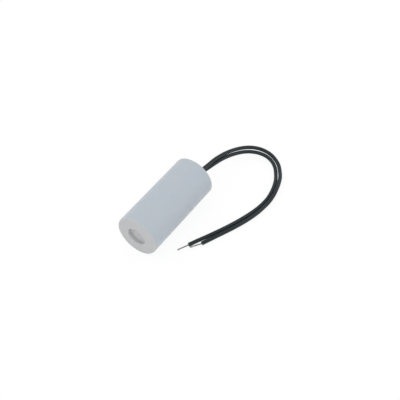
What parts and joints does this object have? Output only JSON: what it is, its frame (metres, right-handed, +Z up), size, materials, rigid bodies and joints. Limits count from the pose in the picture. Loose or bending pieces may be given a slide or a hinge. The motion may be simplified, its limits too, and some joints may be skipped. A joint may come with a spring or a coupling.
{
  "type": "motor run capacitor",
  "caption": "Cylindrical film capacitor for running a motor, in a plain moulded plastic can with a recessed closed end, resin filled, with flexible insulated leads stripped at their ends.",
  "frame": {"origin": "on the table under the middle of the can, which lies on its side; the leads aren't counted", "axes": "+X along the can from its closed end to its lead end, +Z up"},
  "size_m": [0.1221, 0.0654, 0.03],
  "materials": {
    "case_plastic": "moulded polypropylene, fine satin, slightly translucent white",
    "resin": "poured resin, glossy with a slight meniscus",
    "film": "metallised polypropylene film, tightly wound",
    "core_plastic": "extruded plastic tube",
    "sprayed_zinc": "flame-sprayed, rough grey",
    "jacket_pvc": "black PVC, satin",
    "tinned_wire": "tinned copper strands",
    "solder": "solder, bright and smooth"
  },
  "bodies": {
    "root": {"case": "case_plastic", "resin": "resin", "film_roll": "film", "core_tube": "core_plastic", "contact_closed_end": "sprayed_zinc", "contact_lead_end": "sprayed_zinc", "lead_a": "jacket_pvc", "lead_b": "jacket_pvc", "lead_b_core_run": "jacket_pvc", "conductor_a_root": "tinned_wire", "conductor_b_root": "tinned_wire", "solder_a": "solder", "solder_b": "solder", "conductor_a_end": "tinned_wire", "conductor_b_end": "tinned_wire", "tin_a": "solder", "tin_b": "solder"}
  },
  "joints": []
}
